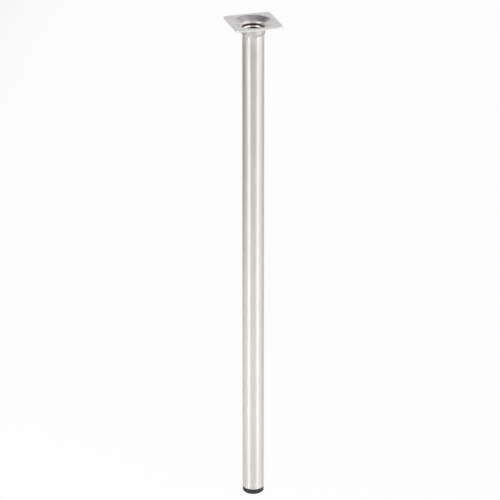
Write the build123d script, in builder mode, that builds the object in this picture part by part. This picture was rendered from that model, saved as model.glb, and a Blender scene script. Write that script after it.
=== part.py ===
from build123d import *
import math
import os

# Tubular furniture leg with a pressed mounting plate, in millimetres.
# The leg's axis is Z, the floor under its foot is Z = 0, and the plate's edges run along X and Y.

# Leg
leg_height = 700.0
tube_diameter = 30.0
tube_wall = 2.0
tube_rim_land = 0.3

# Mounting plate
plate_side = 66.0
plate_corner_radius = 6.0
plate_edge_break = 0.4
sheet_thickness = 2.0
screw_pitch = 50.0
screw_hole_diameter = 4.5
dish_diameter = 54.0
dish_depth = 6.0
dish_bend_radius = 3.0
collar_bend_radius = 1.5
collar_depth = 13.5
collar_wall = 1.2
collar_clearance = 0.1

# Joint between the collar and the tube
tube_end_depth = 10.5
weld_leg = 3.5

# Foot
foot_height = 8.0
foot_inset = 0.2
foot_edge_chamfer = 1.5
foot_floor = 3.0
plug_length = 24.0
plug_wall = 1.8
plug_lead_in = 1.0
rib_count = 8
rib_width = 2.0
rib_reach = 1.2
rib_setback = 5.0
rib_clearance = 0.05

# Places worked out from the sizes above
tube_radius = tube_diameter / 2
bore_radius = tube_radius - tube_wall
collar_radius = tube_radius + collar_clearance
collar_outer_radius = collar_radius + collar_wall
collar_end = leg_height - collar_depth
tube_top = leg_height - tube_end_depth
tube_length = tube_top - foot_height

# The sheet is pressed as a round form, flat outside, then a shallow cone of the same thickness, then
# the collar, which drawing has thinned. It is then trimmed to a square with rounded corners and punched.
with BuildPart() as mounting_plate:
    with BuildSketch(Plane.XZ):
        with BuildLine():
            upper_side = FilletPolyline(
                (plate_side, leg_height),
                (dish_diameter / 2, leg_height),
                (collar_radius, leg_height - dish_depth),
                (collar_radius, collar_end),
                radius=[dish_bend_radius + sheet_thickness, collar_bend_radius + sheet_thickness],
            )
            dish_slope = math.atan2(dish_depth, dish_diameter / 2 - collar_radius)
            bend_shift = sheet_thickness * math.tan(dish_slope / 2)
            under_edge = dish_diameter / 2 + bend_shift
            under_drop = sheet_thickness + (under_edge - collar_outer_radius) * math.tan(dish_slope)
            under_side = FilletPolyline(
                (plate_side, leg_height - sheet_thickness),
                (under_edge, leg_height - sheet_thickness),
                (collar_outer_radius, leg_height - under_drop),
                (collar_outer_radius, collar_end),
                radius=[dish_bend_radius, collar_bend_radius],
            )
            Line(upper_side @ 0, under_side @ 0)
            Line(upper_side @ 1, under_side @ 1)
        make_face()
    revolve(axis=Axis.Z)
    with BuildSketch(Plane.XY.offset(collar_end)):
        RectangleRounded(plate_side, plate_side, plate_corner_radius)
    extrude(amount=collar_depth, mode=Mode.INTERSECT)
    flat_faces = mounting_plate.faces().filter_by(Plane.XY).sort_by(Axis.Z)
    rim_edges = flat_faces[-1].outer_wire().edges() + flat_faces[-2].outer_wire().edges()
    chamfer(rim_edges, length=plate_edge_break)
    with Locations((0, 0, leg_height)):
        with GridLocations(screw_pitch, screw_pitch, 2, 2):
            Hole(radius=screw_hole_diameter / 2)
mounting_plate.part.label = "mounting_plate"

# A plain length of tube, with the bore of its upper end opened out by a chamfer.
with BuildPart() as leg_tube:
    with BuildSketch(Plane.XY.offset(foot_height)):
        Circle(tube_radius)
        Circle(bore_radius, mode=Mode.SUBTRACT)
    extrude(amount=tube_length)
    upper_rims = leg_tube.edges().filter_by(GeomType.CIRCLE).group_by(Axis.Z)[-1]
    chamfer(upper_rims.sort_by(SortBy.RADIUS)[0], length=tube_wall - tube_rim_land)
leg_tube.part.label = "leg_tube"

# A ring of weld metal in the step between the collar's lower edge and the tube.
with BuildPart() as weld_bead:
    with BuildSketch(Plane.XZ):
        with BuildLine():
            root_top = (tube_radius, collar_end)
            toe_on_collar = (collar_outer_radius, collar_end)
            toe_on_tube = (tube_radius, collar_end - weld_leg)
            Line(root_top, toe_on_collar)
            Line(toe_on_collar, toe_on_tube)
            Line(toe_on_tube, root_top)
        make_face()
    revolve(axis=Axis.Z)
weld_bead.part.label = "weld_bead"

# The foot: a lip as wide as the tube with a bevelled lower edge, and a hollow plug whose
# upright ribs grip the bore of the tube.
with BuildPart() as foot_cap:
    plug_radius = bore_radius - rib_clearance - rib_reach
    with BuildSketch(Plane.XY):
        Circle(tube_radius - foot_inset)
    extrude(amount=foot_height)
    chamfer(foot_cap.edges().sort_by(Axis.Z)[0], length=foot_edge_chamfer)
    with BuildSketch(Plane.XY.offset(foot_height)):
        Circle(plug_radius)
    extrude(amount=plug_length)
    chamfer(foot_cap.edges().sort_by(Axis.Z)[-1], length=plug_lead_in)
    with BuildSketch(Plane.XY.offset(foot_height)):
        with PolarLocations(plug_radius, rib_count):
            Rectangle(4 * rib_reach, rib_width)
        Circle(bore_radius - rib_clearance, mode=Mode.INTERSECT)
    extrude(amount=plug_length - rib_setback)
    with BuildSketch(Plane.XY.offset(foot_floor)):
        Circle(plug_radius - plug_wall)
    extrude(amount=foot_height + plug_length - foot_floor, mode=Mode.SUBTRACT)
foot_cap.part.label = "foot_cap"

os.makedirs("parts", exist_ok=True)
export_step(mounting_plate.part, "parts/mounting_plate.step")
export_step(leg_tube.part, "parts/leg_tube.step")
export_step(weld_bead.part, "parts/weld_bead.step")
export_step(foot_cap.part, "parts/foot_cap.step")
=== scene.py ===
import math

import bpy
import numpy as np
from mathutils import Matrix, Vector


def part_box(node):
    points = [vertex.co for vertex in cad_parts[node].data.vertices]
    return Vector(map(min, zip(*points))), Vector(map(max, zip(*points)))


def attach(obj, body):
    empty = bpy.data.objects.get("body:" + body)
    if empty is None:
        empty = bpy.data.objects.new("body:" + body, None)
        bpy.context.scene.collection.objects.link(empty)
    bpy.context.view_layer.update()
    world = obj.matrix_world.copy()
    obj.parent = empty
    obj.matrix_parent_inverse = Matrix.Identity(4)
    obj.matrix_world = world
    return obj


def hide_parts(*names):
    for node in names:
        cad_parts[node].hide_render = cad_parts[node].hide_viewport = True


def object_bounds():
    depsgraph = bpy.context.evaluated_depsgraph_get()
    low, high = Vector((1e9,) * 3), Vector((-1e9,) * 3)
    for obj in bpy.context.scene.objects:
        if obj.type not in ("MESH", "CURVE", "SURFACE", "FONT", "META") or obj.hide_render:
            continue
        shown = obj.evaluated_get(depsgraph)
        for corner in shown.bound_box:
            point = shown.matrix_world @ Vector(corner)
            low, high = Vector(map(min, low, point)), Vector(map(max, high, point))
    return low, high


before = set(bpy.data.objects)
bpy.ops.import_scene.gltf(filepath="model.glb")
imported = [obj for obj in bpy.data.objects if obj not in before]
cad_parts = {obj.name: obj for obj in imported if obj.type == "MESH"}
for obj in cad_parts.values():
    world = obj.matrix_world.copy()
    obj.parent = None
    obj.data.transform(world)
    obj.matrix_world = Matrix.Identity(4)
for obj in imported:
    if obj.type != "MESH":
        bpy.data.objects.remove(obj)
cad_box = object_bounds()

# The leg's tube: one length of round steel tube with a thin wall, ground to a satin finish on the outside.
# It is cut square, its upper bore is opened by a chamfer, and it stands on the lip of the foot.
TUBE_WALL = 0.0020
TUBE_RIM_LAND = 0.0003
TUBE_EDGE_ROUND = 0.00012
TUBE_EDGE_SHOULDER = 0.00004
TUBE_EDGE_STEPS = 4
TUBE_SEGMENTS = 240
STEEL_COLOUR = "#F6F2EE"
STEEL_DULL = "#EEEAE6"
# The bore's colour is painted shade: the dark inside of the tube.
BORE_PAINTED_SHADE = "#3F3B38"
BORE_SHADE_EDGE = 0.0001
BELT_ROUGHNESS = (0.43, 0.50)
BELT_PASS = 0.040
BRUSH_LINE = 0.0012
BRUSH_LENGTH = 0.030
BRUSH_BUMP = 0.03
BUMP_HEIGHT = 0.0001
ACROSS_THE_RINGS = 0.25
TURNED_ROUGHNESS = 0.30
BUFFED_ROUGHNESS = 0.36
BUFFED_LENGTH = 0.020


def linear(code):
    """An sRGB hex colour as linear red, green, blue and alpha."""
    values = [int(code[at:at + 2], 16) / 255 for at in (1, 3, 5)]
    return [v / 12.92 if v <= 0.04045 else ((v + 0.055) / 1.055) ** 2.4 for v in values] + [1.0]


def add_node(tree, kind, inputs=None, **settings):
    """One node in a shader tree.

    Settings are its own properties, and inputs are values or the sockets that feed it.
    """
    made = tree.nodes.new(kind)
    for name, value in settings.items():
        setattr(made, name, value)
    for name, value in (inputs or {}).items():
        if isinstance(value, bpy.types.NodeSocket):
            tree.links.new(value, made.inputs[name])
        else:
            made.inputs[name].default_value = value
    return made


def new_material(name):
    """An empty node material and its tree."""
    material = bpy.data.materials.new(name)
    material.use_nodes = True
    material.node_tree.nodes.clear()
    return material, material.node_tree


def rounded_loop(corners, radius, steps, shoulder):
    """A closed outline of straight runs whose corners are tangent arcs of one radius.

    Each arc gets a shoulder point a little way along the runs beside it, so that smooth shading stays flat
    on the runs.
    """
    corners = np.asarray(corners, float)
    points = []
    for at in range(len(corners)):
        corner = corners[at]
        back = corners[at - 1] - corner
        ahead = corners[(at + 1) % len(corners)] - corner
        back /= np.linalg.norm(back)
        ahead /= np.linalg.norm(ahead)
        half = math.acos(np.clip(back @ ahead, -1, 1)) / 2
        setback = radius / math.tan(half)
        middle = (back + ahead) / np.linalg.norm(back + ahead)
        centre = corner + middle * radius / math.sin(half)
        sweep = np.linspace(half - math.pi / 2, math.pi / 2 - half, steps + 1)[:, None]
        across = (ahead - back) / np.linalg.norm(ahead - back)
        arc = centre - radius * (np.cos(sweep) * middle - np.sin(sweep) * across)
        points += [corner + back * (setback + shoulder), arc, corner + ahead * (setback + shoulder)]
    return np.vstack(points)


def closed_grid(name, grid):
    """A mesh object from a grid of points that closes on itself both ways, smooth shaded."""
    around, along = grid.shape[:2]
    index = np.arange(around * along).reshape(around, along)
    next_around = np.roll(index, -1, axis=0)
    next_along = np.roll(index, -1, axis=1)
    next_both = np.roll(next_around, -1, axis=1)
    faces = np.stack([index, next_around, next_both, next_along], axis=2)
    mesh = bpy.data.meshes.new(name)
    mesh.from_pydata(grid.reshape(-1, 3), [], faces.reshape(-1, 4))
    mesh.shade_smooth()
    made = bpy.data.objects.new(name, mesh)
    bpy.context.scene.collection.objects.link(made)
    return made


def lathe(name, outline, segments):
    """A closed outline of radius and height turned about Z: each ring point is (r cos a, r sin a, z)."""
    angle = np.linspace(0, 2 * np.pi, segments, endpoint=False)[:, None]
    radius, height = outline[:, 0], outline[:, 1]
    grid = np.stack([radius * np.cos(angle), radius * np.sin(angle), height + 0 * angle], axis=2)
    return closed_grid(name, grid)


tube_low, tube_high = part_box("leg_tube")
tube_radius = tube_high[0]
bore_radius = tube_radius - TUBE_WALL
chamfer = TUBE_WALL - TUBE_RIM_LAND
tube_corners = [
    (tube_radius, tube_low[2]),
    (tube_radius, tube_high[2]),
    (tube_radius - TUBE_RIM_LAND, tube_high[2]),
    (bore_radius, tube_high[2] - chamfer),
    (bore_radius, tube_low[2]),
]
tube_outline = rounded_loop(tube_corners, TUBE_EDGE_ROUND, TUBE_EDGE_STEPS, TUBE_EDGE_SHOULDER)
tube = lathe("brushed_tube", tube_outline, TUBE_SEGMENTS)

# Stainless steel, belt ground: fine rings run round the tube, so lights stretch into long upright bands.
# The rings are drawn coarser than the real grit, which would be too fine to show. The tube is brighter just
# below the weld, where it was buffed clean, and the chamfer is turned bright. The bore is painted dark, as
# painted shade deep inside the tube.
brushed_steel, tree = new_material("brushed_stainless_steel")
where = add_node(tree, "ShaderNodeTexCoord").outputs["Object"]
rings_at = add_node(tree, "ShaderNodeMapping", {
    "Vector": where,
    "Scale": (1 / BRUSH_LENGTH, 1 / BRUSH_LENGTH, 1 / BRUSH_LINE),
})
rings = add_node(tree, "ShaderNodeTexNoise", {
    "Vector": rings_at.outputs["Vector"],
    "Scale": 1.0,
    "Detail": 4.0,
})
ring_rough = add_node(tree, "ShaderNodeMapRange", {
    "Value": rings.outputs["Fac"],
    "To Min": BELT_ROUGHNESS[0],
    "To Max": BELT_ROUGHNESS[1],
})
ring_bump = add_node(tree, "ShaderNodeBump", {
    "Height": rings.outputs["Fac"],
    "Strength": BRUSH_BUMP,
    "Distance": BUMP_HEIGHT,
})
height = add_node(tree, "ShaderNodeSeparateXYZ", {"Vector": where}).outputs["Z"]
weld_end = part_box("weld_bead")[0][2]
buffed = add_node(tree, "ShaderNodeMapRange", {
    "Value": height,
    "From Min": weld_end - BUFFED_LENGTH,
    "From Max": weld_end,
})
outer_rough = add_node(tree, "ShaderNodeMix", {
    "Factor": buffed.outputs["Result"],
    "A": ring_rough.outputs["Result"],
    "B": BUFFED_ROUGHNESS,
})
turned = add_node(tree, "ShaderNodeMath", {0: height, 1: tube_high[2] - chamfer}, operation="GREATER_THAN")
tube_rough = add_node(tree, "ShaderNodeMix", {
    "Factor": turned.outputs[0],
    "A": outer_rough.outputs["Result"],
    "B": TURNED_ROUGHNESS,
})
passes = add_node(tree, "ShaderNodeTexNoise", {"Vector": where, "Scale": 1 / BELT_PASS, "Detail": 2.0})
pass_tint = add_node(tree, "ShaderNodeMix", {
    "Factor": passes.outputs["Fac"],
    "A": linear(STEEL_DULL),
    "B": linear(STEEL_COLOUR),
}, data_type="RGBA")
level = add_node(tree, "ShaderNodeVectorMath", {0: where, 1: (1, 1, 0)}, operation="MULTIPLY")
radius = add_node(tree, "ShaderNodeVectorMath", {0: level.outputs["Vector"]}, operation="LENGTH")
# Painted shade: inside the bore the tube takes the dark bore colour, and outside it takes the steel's own
# tint.
clear_of_bore_shade = add_node(tree, "ShaderNodeMapRange", {
    "Value": radius.outputs["Value"],
    "From Min": bore_radius + BORE_SHADE_EDGE,
    "From Max": bore_radius + 2 * BORE_SHADE_EDGE,
})
tube_tint = add_node(tree, "ShaderNodeMix", {
    "Factor": clear_of_bore_shade.outputs["Result"],
    "A": linear(BORE_PAINTED_SHADE),
    "B": pass_tint.outputs["Result"],
}, data_type="RGBA")
round_z = add_node(tree, "ShaderNodeTangent", direction_type="RADIAL", axis="Z")
steel = add_node(tree, "ShaderNodeBsdfPrincipled", {
    "Base Color": tube_tint.outputs["Result"],
    "Metallic": 1.0,
    "Roughness": tube_rough.outputs["Result"],
    "Anisotropic": 1.0,
    "Anisotropic Rotation": ACROSS_THE_RINGS,
    "Tangent": round_z.outputs["Tangent"],
    "Normal": ring_bump.outputs["Normal"],
})
add_node(tree, "ShaderNodeOutputMaterial", {"Surface": steel.outputs["BSDF"]})
tube.data.materials.append(brushed_steel)
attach(tube, "root")
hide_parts("leg_tube")

# The mounting plate: one pressed piece of steel sheet, square, with a dished middle drawn down into a collar
# round the tube's end. It keeps the shape of its solid and gets a satin finish.
PLATE_COLOUR = "#C5C2C2"
PRESSED_ROUGHNESS = (0.24, 0.34)
PLATE_GRAIN = 0.0008
PLATE_BUMP = 0.05
PLATE_CLOUD = 0.012
# Painted highlight: the edge colour is partly the bright cut metal and partly light caught on the edges.
SHEARED_AND_HIGHLIT_COLOUR = "#EFEBE9"
SHEARED_DEPTH = 0.0021
SHEARED_FACING = 0.8
# The bend's colour is a painted highlight: the bright ring the bend reflects, paler and warmer than the
# sheet.
BEND_HIGHLIGHT_COLOUR = "#E2D9D5"
DRAWN_ROUGHNESS = 0.42
DRAWN_RADIUS = 0.0186
DRAWN_DEPTH = 0.0074
DRAWN_FADE = 0.0008
# The collar's colour is painted light: lighter than the sheet, to lift the collar out of its darker
# reflection.
COLLAR_HIGHLIGHT_COLOUR = "#CFCAC6"
COLLAR_ROUGHNESS = 0.48
COLLAR_WALL = 0.0012
COLLAR_BELOW = 0.0085

# Satin pressed steel: an even fine grain with faint clouding from the press. The upright cut edges of the
# sheet are
# painted brighter: partly the bright sheared and punched metal, and partly a painted highlight where they
# catch the light.
# The collar's outside below the plate is duller where it was brushed over after welding, and it is painted
# lighter there as painted light. Round the bend into the collar the metal is duller where drawing stretched
# it, and it is painted paler and warmer there as a painted highlight of the bend's bright ring.
plate_top = cad_box[1][2]
satin_steel, tree = new_material("satin_pressed_steel")
coords = add_node(tree, "ShaderNodeTexCoord").outputs
where = coords["Object"]
cloud = add_node(tree, "ShaderNodeTexNoise", {"Vector": where, "Scale": 1 / PLATE_CLOUD, "Detail": 3.0})
press_rough = add_node(tree, "ShaderNodeMapRange", {
    "Value": cloud.outputs["Fac"],
    "To Min": PRESSED_ROUGHNESS[0],
    "To Max": PRESSED_ROUGHNESS[1],
})
grain = add_node(tree, "ShaderNodeTexNoise", {"Vector": where, "Scale": 1 / PLATE_GRAIN, "Detail": 2.0})
plate_bump = add_node(tree, "ShaderNodeBump", {
    "Height": grain.outputs["Fac"],
    "Strength": PLATE_BUMP,
    "Distance": BUMP_HEIGHT,
})
height = add_node(tree, "ShaderNodeSeparateXYZ", {"Vector": where}).outputs["Z"]
level = add_node(tree, "ShaderNodeVectorMath", {0: where, 1: (1, 1, 0)}, operation="MULTIPLY")
radius = add_node(tree, "ShaderNodeVectorMath", {0: level.outputs["Vector"]}, operation="LENGTH")

facing = add_node(tree, "ShaderNodeSeparateXYZ", {"Vector": coords["Normal"]}).outputs["Z"]
flatness = add_node(tree, "ShaderNodeMath", {0: facing}, operation="ABSOLUTE")
upright = add_node(tree, "ShaderNodeMath", {
    0: flatness.outputs[0],
    1: SHEARED_FACING,
}, operation="LESS_THAN")
in_sheet = add_node(tree, "ShaderNodeMath", {
    0: height,
    1: plate_top - SHEARED_DEPTH,
}, operation="GREATER_THAN")
# Painted highlight, partly real: upright faces within the sheet's thickness take the brighter edge colour.
sheared_and_highlit = add_node(tree, "ShaderNodeMath", {
    0: upright.outputs[0],
    1: in_sheet.outputs[0],
}, operation="MULTIPLY")
sheet_tint = add_node(tree, "ShaderNodeMix", {
    "Factor": sheared_and_highlit.outputs[0],
    "A": linear(PLATE_COLOUR),
    "B": linear(SHEARED_AND_HIGHLIT_COLOUR),
}, data_type="RGBA")

in_bend = add_node(tree, "ShaderNodeMapRange", {
    "Value": radius.outputs["Value"],
    "From Min": DRAWN_RADIUS,
    "From Max": DRAWN_RADIUS - DRAWN_FADE,
})
above_collar = add_node(tree, "ShaderNodeMath", {
    0: height,
    1: plate_top - DRAWN_DEPTH,
}, operation="GREATER_THAN")
drawn_and_highlit = add_node(tree, "ShaderNodeMath", {
    0: in_bend.outputs["Result"],
    1: above_collar.outputs[0],
}, operation="MULTIPLY")
# Painted highlight: the bend is tinted paler and warmer. Its higher roughness is the stretched metal.
bend_tint = add_node(tree, "ShaderNodeMix", {
    "Factor": drawn_and_highlit.outputs[0],
    "A": sheet_tint.outputs["Result"],
    "B": linear(BEND_HIGHLIGHT_COLOUR),
}, data_type="RGBA")
bend_rough = add_node(tree, "ShaderNodeMix", {
    "Factor": drawn_and_highlit.outputs[0],
    "A": press_rough.outputs["Result"],
    "B": DRAWN_ROUGHNESS,
})

outside = add_node(tree, "ShaderNodeMath", {
    0: radius.outputs["Value"],
    1: tube_radius + COLLAR_WALL / 2,
}, operation="GREATER_THAN")
on_collar = add_node(tree, "ShaderNodeMath", {
    0: height,
    1: plate_top - COLLAR_BELOW,
}, operation="LESS_THAN")
collar_brushed_and_highlit = add_node(tree, "ShaderNodeMath", {
    0: outside.outputs[0],
    1: on_collar.outputs[0],
}, operation="MULTIPLY")
# Painted light: the collar's outside below the plate is tinted lighter. Its higher roughness is the
# brushing.
plate_tint = add_node(tree, "ShaderNodeMix", {
    "Factor": collar_brushed_and_highlit.outputs[0],
    "A": bend_tint.outputs["Result"],
    "B": linear(COLLAR_HIGHLIGHT_COLOUR),
}, data_type="RGBA")
plate_rough = add_node(tree, "ShaderNodeMix", {
    "Factor": collar_brushed_and_highlit.outputs[0],
    "A": bend_rough.outputs["Result"],
    "B": COLLAR_ROUGHNESS,
})
steel = add_node(tree, "ShaderNodeBsdfPrincipled", {
    "Base Color": plate_tint.outputs["Result"],
    "Metallic": 1.0,
    "Roughness": plate_rough.outputs["Result"],
    "Normal": plate_bump.outputs["Normal"],
})
add_node(tree, "ShaderNodeOutputMaterial", {"Surface": steel.outputs["BSDF"]})
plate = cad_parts["mounting_plate"]
for slot in plate.material_slots:
    slot.material = satin_steel

# The weld: a ring of weld metal run round the step between the collar's lower edge and the tube,
# laid in overlapping ripples and then brushed over.
WELD_RIPPLE = 0.0022
WELD_RIPPLE_SWEEP = 1.2
WELD_CROWN = 0.00035
WELD_VALLEY = 0.25
WELD_SEGMENTS = 480
WELD_STEPS = 10
WELD_COLOUR = "#DCD7D2"
WELD_DULL = "#A29B95"
WELD_ROUGHNESS = (0.5, 0.28)
WELD_BLOTCH = 0.005


def weld_ring(name, inner_radius, outer_radius, top, bottom, ripples):
    """A ring of weld metal with a closed three-sided section turned about Z.

    The outer side runs straight from toe to toe plus a crown of sine shape. The crown falls with the square
    root along each ripple, down to its valley, and each ripple is swept back towards its edges.
    """
    angle = np.linspace(0, 2 * np.pi, WELD_SEGMENTS, endpoint=False)[:, None]
    share = np.linspace(0, 1, WELD_STEPS + 1)[None, :]
    sweep_back = WELD_RIPPLE_SWEEP * (2 * share - 1) ** 2
    phase = (ripples * angle / (2 * np.pi) + sweep_back) % 1.0
    fullness = WELD_VALLEY + (1 - WELD_VALLEY) * np.sqrt(1 - phase)
    crown = WELD_CROWN * np.sin(np.pi * share) * fullness
    run = np.array([inner_radius - outer_radius, bottom - top])
    normal = np.array([-run[1], run[0]]) / np.linalg.norm(run)
    radius = outer_radius + run[0] * share + normal[0] * crown
    height = top + run[1] * share + normal[1] * crown
    radius = np.hstack([radius, np.full_like(angle, inner_radius)])
    height = np.hstack([height, np.full_like(angle, top)])
    grid = np.stack([radius * np.cos(angle), radius * np.sin(angle), height], axis=2)
    return closed_grid(name, grid[:, ::-1])


weld_low, weld_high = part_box("weld_bead")
ripple_count = round(2 * math.pi * weld_high[0] / WELD_RIPPLE)
weld = weld_ring("rippled_weld", tube_radius, weld_high[0], weld_high[2], weld_low[2], ripple_count)

# Weld metal, brushed: patches of brighter and duller steel, slightly browned by heat.
weld_metal, tree = new_material("brushed_weld_metal")
where = add_node(tree, "ShaderNodeTexCoord").outputs["Object"]
blotch = add_node(tree, "ShaderNodeTexNoise", {"Vector": where, "Scale": 1 / WELD_BLOTCH, "Detail": 4.0})
weld_tint = add_node(tree, "ShaderNodeMix", {
    "Factor": blotch.outputs["Fac"],
    "A": linear(WELD_DULL),
    "B": linear(WELD_COLOUR),
}, data_type="RGBA")
weld_rough = add_node(tree, "ShaderNodeMapRange", {
    "Value": blotch.outputs["Fac"],
    "To Min": WELD_ROUGHNESS[0],
    "To Max": WELD_ROUGHNESS[1],
})
steel = add_node(tree, "ShaderNodeBsdfPrincipled", {
    "Base Color": weld_tint.outputs["Result"],
    "Metallic": 1.0,
    "Roughness": weld_rough.outputs["Result"],
})
add_node(tree, "ShaderNodeOutputMaterial", {"Surface": steel.outputs["BSDF"]})
weld.data.materials.append(weld_metal)
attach(weld, "root")
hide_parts("weld_bead")

# The foot: one moulded plastic cap, pushed into the tube by its ribbed plug, with a bevelled lower edge.
# It keeps the shape of its solid and gets the finish of the mould.
FOOT_COLOUR = "#242523"
FOOT_ROUGHNESS = (0.42, 0.58)
FOOT_IOR = 1.49
FOOT_GRAIN = 0.0005
FOOT_BUMP = 0.15

# Polypropylene, moulded in a finely sparked tool: nearly black, with a dull even sheen.
black_plastic, tree = new_material("moulded_black_polypropylene")
where = add_node(tree, "ShaderNodeTexCoord").outputs["Object"]
grain = add_node(tree, "ShaderNodeTexNoise", {"Vector": where, "Scale": 1 / FOOT_GRAIN, "Detail": 2.0})
foot_rough = add_node(tree, "ShaderNodeMapRange", {
    "Value": grain.outputs["Fac"],
    "To Min": FOOT_ROUGHNESS[0],
    "To Max": FOOT_ROUGHNESS[1],
})
foot_bump = add_node(tree, "ShaderNodeBump", {
    "Height": grain.outputs["Fac"],
    "Strength": FOOT_BUMP,
    "Distance": BUMP_HEIGHT,
})
plastic = add_node(tree, "ShaderNodeBsdfPrincipled", {
    "Base Color": linear(FOOT_COLOUR),
    "Roughness": foot_rough.outputs["Result"],
    "IOR": FOOT_IOR,
    "Normal": foot_bump.outputs["Normal"],
})
add_node(tree, "ShaderNodeOutputMaterial", {"Surface": plastic.outputs["BSDF"]})
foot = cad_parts["foot_cap"]
for slot in foot.material_slots:
    slot.material = black_plastic

# The floor: a sheet of white studio paper under the leg. The camera and the steel see it glowing plain white
# in a long painted pool of light round the leg, and pale grey outside it, with a little of its own light and
# shade left in it, so that it keeps the leg's shadow.
FLOOR_REACH = 20.0
PAPER_COLOUR = "#F7F7F7"
GLOW_COLOUR = "#FFFFFF"
PAPER_GLOW = 0.955
POOL_BEHIND = 1.0
POOL_RIGHT = 0.3
POOL_HALF_WIDTH = 0.7
POOL_HALF_LENGTH = 2.1
POOL_FADE = 2.0
POOL_EDGE_LEVEL = 0.66
VIEW_AZIMUTH = math.radians(-16.84)


def flat_sheet(name, reach):
    """A square sheet at height 0 that reaches as far in X as in Y."""
    corners = [(-reach, -reach, 0), (reach, -reach, 0), (reach, reach, 0), (-reach, reach, 0)]
    mesh = bpy.data.meshes.new(name)
    mesh.from_pydata(corners, [], [(0, 1, 2, 3)])
    made = bpy.data.objects.new(name, mesh)
    bpy.context.scene.collection.objects.link(made)
    return made


away = np.array([-math.sin(VIEW_AZIMUTH), math.cos(VIEW_AZIMUTH), 0.0])
right = np.array([math.cos(VIEW_AZIMUTH), math.sin(VIEW_AZIMUTH), 0.0])
white_paper, tree = new_material("white_studio_paper")
white_paper.cycles.emission_sampling = "NONE"
ray = add_node(tree, "ShaderNodeLightPath").outputs
direct = add_node(tree, "ShaderNodeMath", {
    0: ray["Is Camera Ray"],
    1: ray["Is Glossy Ray"],
}, operation="MAXIMUM")
seen = add_node(tree, "ShaderNodeMath", {
    0: direct.outputs[0],
    1: ray["Is Transmission Ray"],
}, operation="MAXIMUM")
share = add_node(tree, "ShaderNodeMath", {0: seen.outputs[0], 1: PAPER_GLOW}, operation="MULTIPLY")
where = add_node(tree, "ShaderNodeTexCoord").outputs["Object"]
in_pool = add_node(tree, "ShaderNodeMapping", {
    "Vector": where,
    "Location": POOL_BEHIND * away + POOL_RIGHT * right,
    "Rotation": (0, 0, VIEW_AZIMUTH),
    "Scale": (POOL_HALF_WIDTH, POOL_HALF_LENGTH, 1),
}, vector_type="TEXTURE")
apart = add_node(tree, "ShaderNodeVectorMath", {0: in_pool.outputs["Vector"]}, operation="LENGTH")
# Painted pool of light: the glow is full inside the pool and fades to pale grey outside it.
painted_light_pool = add_node(tree, "ShaderNodeMapRange", {
    "Value": apart.outputs["Value"],
    "From Min": 1.0,
    "From Max": POOL_FADE,
    "To Min": 1.0,
    "To Max": POOL_EDGE_LEVEL,
}, interpolation_type="SMOOTHSTEP")
matt = add_node(tree, "ShaderNodeBsdfDiffuse", {"Color": linear(PAPER_COLOUR)})
glow = add_node(tree, "ShaderNodeEmission", {
    "Color": linear(GLOW_COLOUR),
    "Strength": painted_light_pool.outputs["Result"],
})
paper = add_node(tree, "ShaderNodeMixShader", {
    0: share.outputs[0],
    1: matt.outputs["BSDF"],
    2: glow.outputs["Emission"],
})
add_node(tree, "ShaderNodeOutputMaterial", {"Surface": paper.outputs["Shader"]})
floor = flat_sheet("floor", FLOOR_REACH)
floor.data.materials.append(white_paper)

# The camera: a long lens well back from the leg, a little to its left and looking down on the plate.
# The last four values are pixels of a square frame, to place the leg's axis in the picture.
CAMERA_BACK = 4.0
CAMERA_ABOVE_PLATE = 1.3967
CAMERA_PITCH = math.radians(23.36)
CAMERA_REACH = 100.0
FOCAL_PIXELS = 3181.0
AXIS_PIXEL = 253.2
DOWN_PIXELS = 0.3
FRAME_PIXELS = 500

camera = bpy.data.objects.new("camera", bpy.data.cameras.new("camera"))
camera.location = -CAMERA_BACK * away + np.array([0, 0, plate_top + CAMERA_ABOVE_PLATE])
camera.rotation_euler = (math.pi / 2 - CAMERA_PITCH, 0, VIEW_AZIMUTH)
camera.data.lens = FOCAL_PIXELS / FRAME_PIXELS * camera.data.sensor_width
camera.data.shift_x = (FRAME_PIXELS / 2 - AXIS_PIXEL) / FRAME_PIXELS
camera.data.shift_y = DOWN_PIXELS / FRAME_PIXELS
camera.data.clip_end = CAMERA_REACH
bpy.context.scene.collection.objects.link(camera)
bpy.context.scene.camera = camera

# The light: a pale studio with a darker ceiling, dark flags on its sides and a darker wall behind the
# camera. Soft boxes stand low and high on each side of the camera, with panels beside them and a small roof
# close over each side of the plate, and low strips round the foot light the tube's lower end.
WALL_COLOUR = "#ECECEC"
CEILING_COLOUR = "#A6A6A6"
STUDIO_LEVEL = 1.25
CEILING_FROM = 0.45
CEILING_TO = 0.75
FLAG_CORE = 0.4

# Each flag: degrees turned to the right from the camera, degrees up, degrees from its middle to its edge,
# and its colour.
DARK_FLAGS = {
    "left": (-105, 2, 48, "#5A5A5A"),
    "left_corner": (-138, 53, 22, "#6E6E6E"),
    "right": (122, 2, 34, "#A0A0A0"),
    "front": (0, 15, 80, "#9E9E9E"),
}

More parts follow.
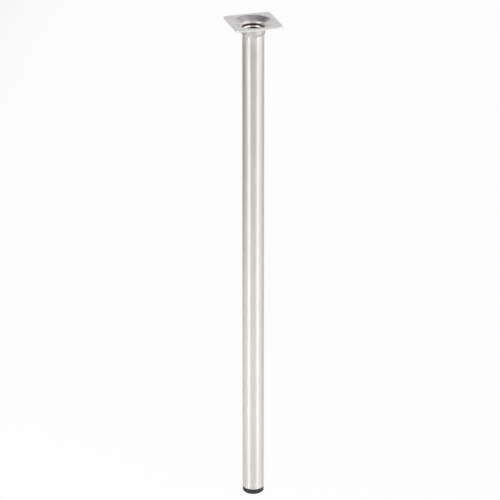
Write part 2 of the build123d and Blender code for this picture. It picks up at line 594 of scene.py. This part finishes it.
# Each box: degrees turned to the right from the camera, degrees up, the height on the leg's axis that it
# faces, its distance from there, its width and length, and its brightness.
SOFT_BOXES = {
    "left_low_box": (-41, 0, 0.5, 1.6, 0.62, 0.7, 1.5),
    "left_high_box": (-41, 47, 0.7, 1.6, 0.42, 0.7, 1.35),
    "left_low_panel": (-62, 0, 0.5, 1.7, 0.5, 0.7, 0.1),
    "left_roof": (-70, 46, 0.7, 0.32, 0.2, 0.2, 2.0),
    "right_low_box": (53, 0, 0.5, 1.6, 0.72, 0.7, 2.0),
    "right_high_box": (53, 47, 0.7, 1.6, 0.5, 0.7, 1.9),
    "right_low_panel": (80, 0, 0.5, 1.7, 1.0, 0.7, 0.75),
    "right_roof": (105, 50, 0.7, 0.32, 0.28, 0.24, 0.85),
    "front_strip": (0, 0, 0.16, 0.45, 1.3, 0.12, 2.1),
    "left_strip": (-46, 0, 0.16, 0.45, 0.14, 0.12, 1.5),
    "left_side_strip": (-80, 0, 0.16, 0.45, 0.65, 0.12, 2.0),
    "right_strip": (40, 0, 0.16, 0.45, 0.14, 0.12, 2.0),
}


def direction_to(turn, rise):
    """The unit vector that leans up by the rise from the level direction turned right from the camera."""
    turn, rise = math.radians(turn), math.radians(rise)
    level = math.sin(turn) * right - math.cos(turn) * away
    return math.cos(rise) * level + np.array([0, 0, math.sin(rise)])


world = bpy.data.worlds.new("studio")
bpy.context.scene.world = world
world.use_nodes = True
tree = world.node_tree
tree.nodes.clear()
looking = add_node(tree, "ShaderNodeTexCoord").outputs["Generated"]
height = add_node(tree, "ShaderNodeSeparateXYZ", {"Vector": looking}).outputs["Z"]
overhead = add_node(tree, "ShaderNodeMapRange", {
    "Value": height,
    "From Min": CEILING_FROM,
    "From Max": CEILING_TO,
}, interpolation_type="SMOOTHSTEP")
shade = add_node(tree, "ShaderNodeMix", {
    "Factor": overhead.outputs["Result"],
    "A": linear(WALL_COLOUR),
    "B": linear(CEILING_COLOUR),
}, data_type="RGBA")
for turn, rise, reach, colour in DARK_FLAGS.values():
    near_flag = add_node(tree, "ShaderNodeVectorMath", {
        0: looking,
        1: direction_to(turn, rise),
    }, operation="DOT_PRODUCT")
    on_flag = add_node(tree, "ShaderNodeMapRange", {
        "Value": near_flag.outputs["Value"],
        "From Min": math.cos(math.radians(reach)),
        "From Max": math.cos(math.radians(FLAG_CORE * reach)),
    }, interpolation_type="SMOOTHSTEP")
    shade = add_node(tree, "ShaderNodeMix", {
        "Factor": on_flag.outputs["Result"],
        "A": shade.outputs["Result"],
        "B": linear(colour),
    }, data_type="RGBA")
studio = add_node(tree, "ShaderNodeBackground", {"Color": shade.outputs["Result"], "Strength": STUDIO_LEVEL})
add_node(tree, "ShaderNodeOutputWorld", {"Surface": studio.outputs["Background"]})

for name, (turn, rise, aim, distance, width, length, brightness) in SOFT_BOXES.items():
    lamp = bpy.data.lights.new(name, "AREA")
    lamp.shape = "RECTANGLE"
    lamp.size = width
    lamp.size_y = length
    lamp.energy = brightness * math.pi * width * length
    box = bpy.data.objects.new(name, lamp)
    box.location = np.array([0, 0, aim]) + distance * direction_to(turn, rise)
    box.rotation_euler = (math.pi / 2 - math.radians(rise), 0, VIEW_AZIMUTH + math.radians(turn))
    box.visible_camera = False
    bpy.context.scene.collection.objects.link(box)

bpy.context.scene.view_settings.view_transform = "Standard"
